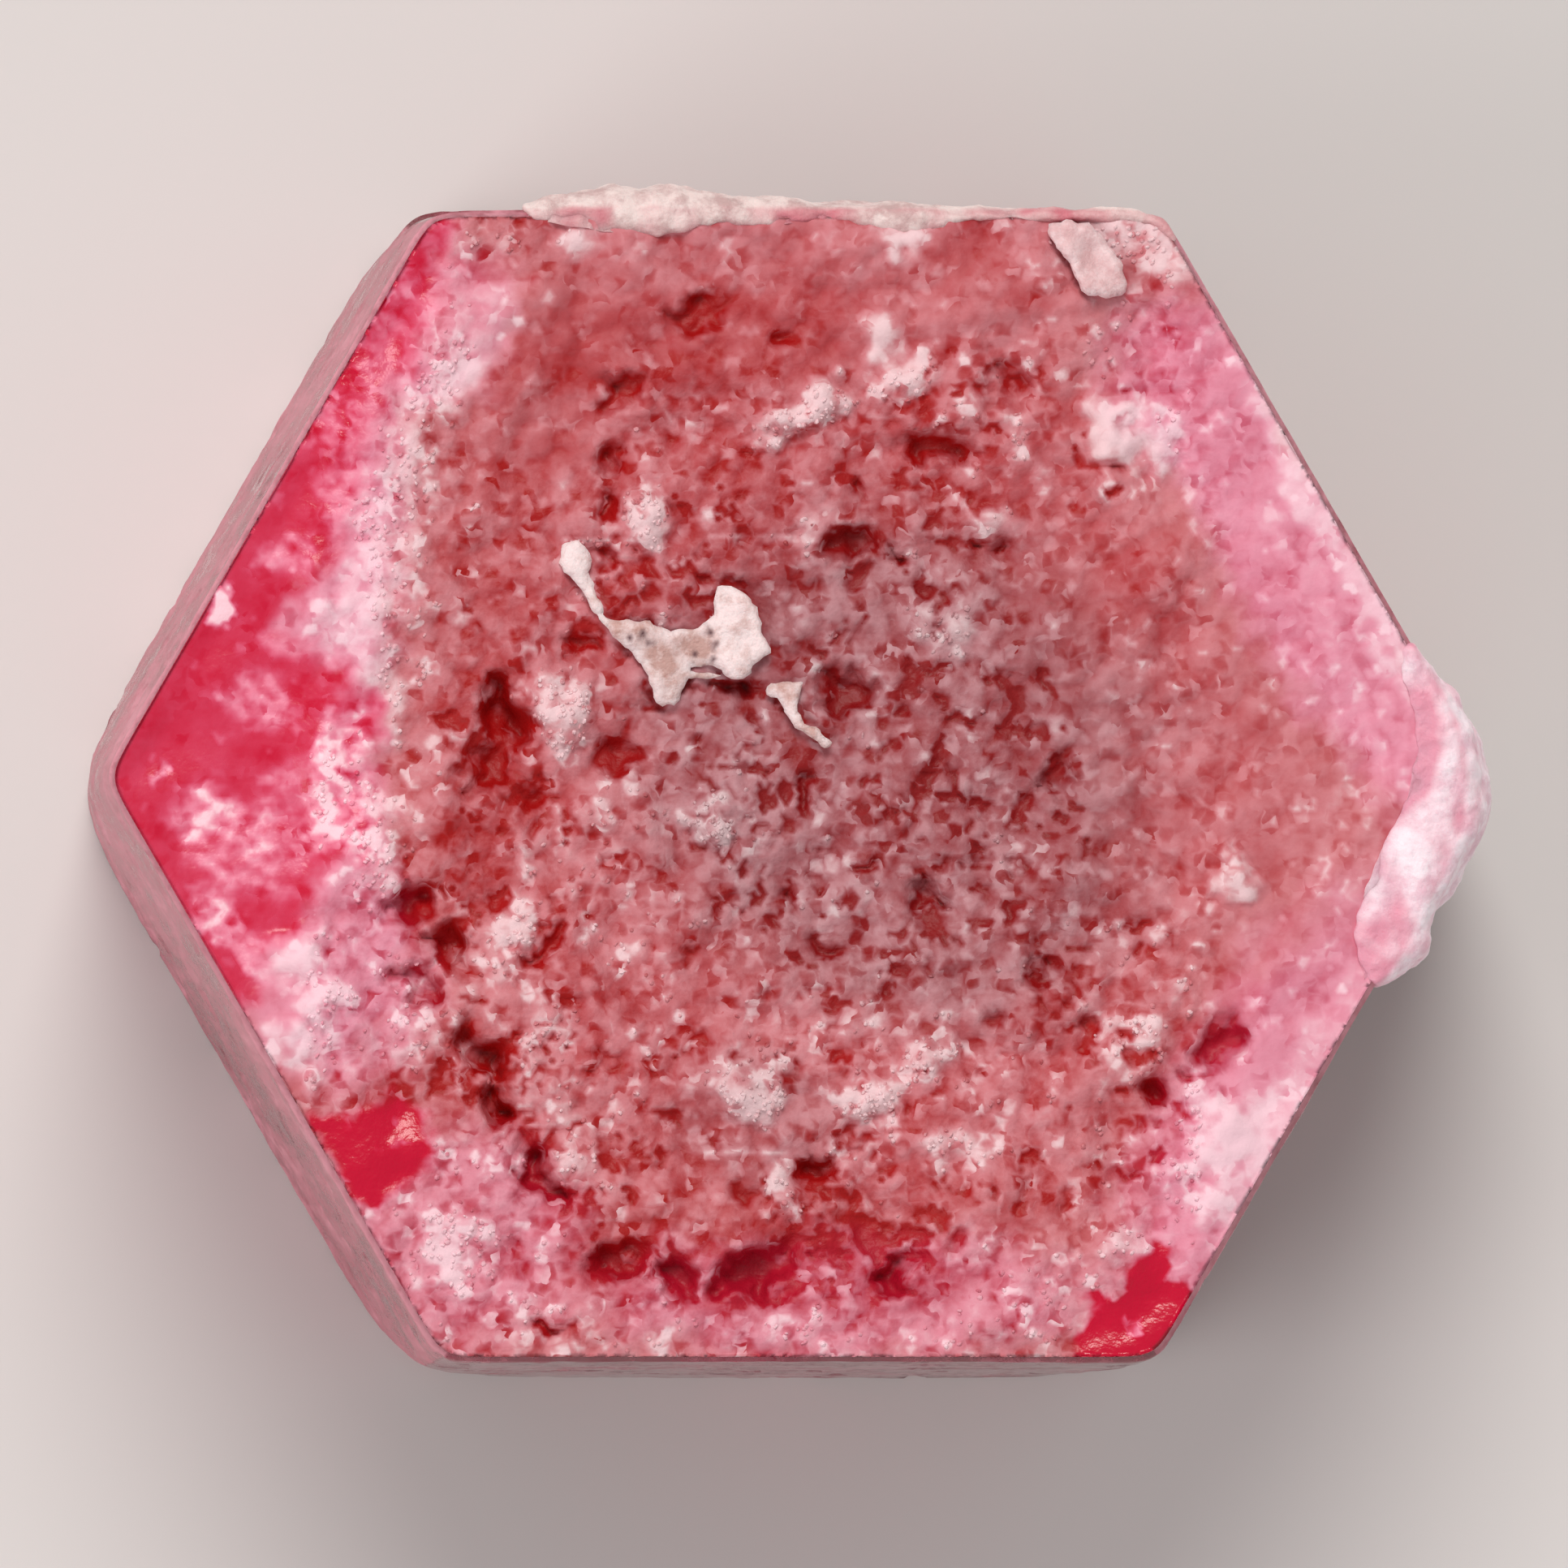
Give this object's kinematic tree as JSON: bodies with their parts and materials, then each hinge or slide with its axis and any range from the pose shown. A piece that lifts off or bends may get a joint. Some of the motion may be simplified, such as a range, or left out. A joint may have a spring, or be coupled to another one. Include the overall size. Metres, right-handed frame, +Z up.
{
  "type": "red beryl crystal",
  "caption": "Short six-sided prism of red beryl with an etched, frosted end face and a flat cut base, with white mineral film and pale matrix still on it.",
  "frame": {"origin": "middle of the flat cut base, on the surface that the crystal stands on", "axes": "+Z up the prism towards the etched end face, +X towards the corner that the pale matrix wraps, +Y towards the side with the white crust"},
  "size_m": [0.0119, 0.0101, 0.0072],
  "materials": {
    "red_beryl": "translucent raspberry red, glassy prism faces, etched and frosted end face",
    "white_film": "smooth chalky white mineral film, faintly pink",
    "white_crust": "rough cream-white mineral crust",
    "white_flake": "smooth cream-white flake",
    "pale_matrix": "pale pinkish-white, fine-grained and slightly translucent rock"
  },
  "bodies": {
    "root": {"red_beryl_crystal": "red_beryl", "white_mineral_film": "white_film", "white_film_fragment": "white_film", "top_edge_crust": "white_crust", "corner_flake": "white_flake", "matrix_knob": "pale_matrix"}
  },
  "joints": []
}
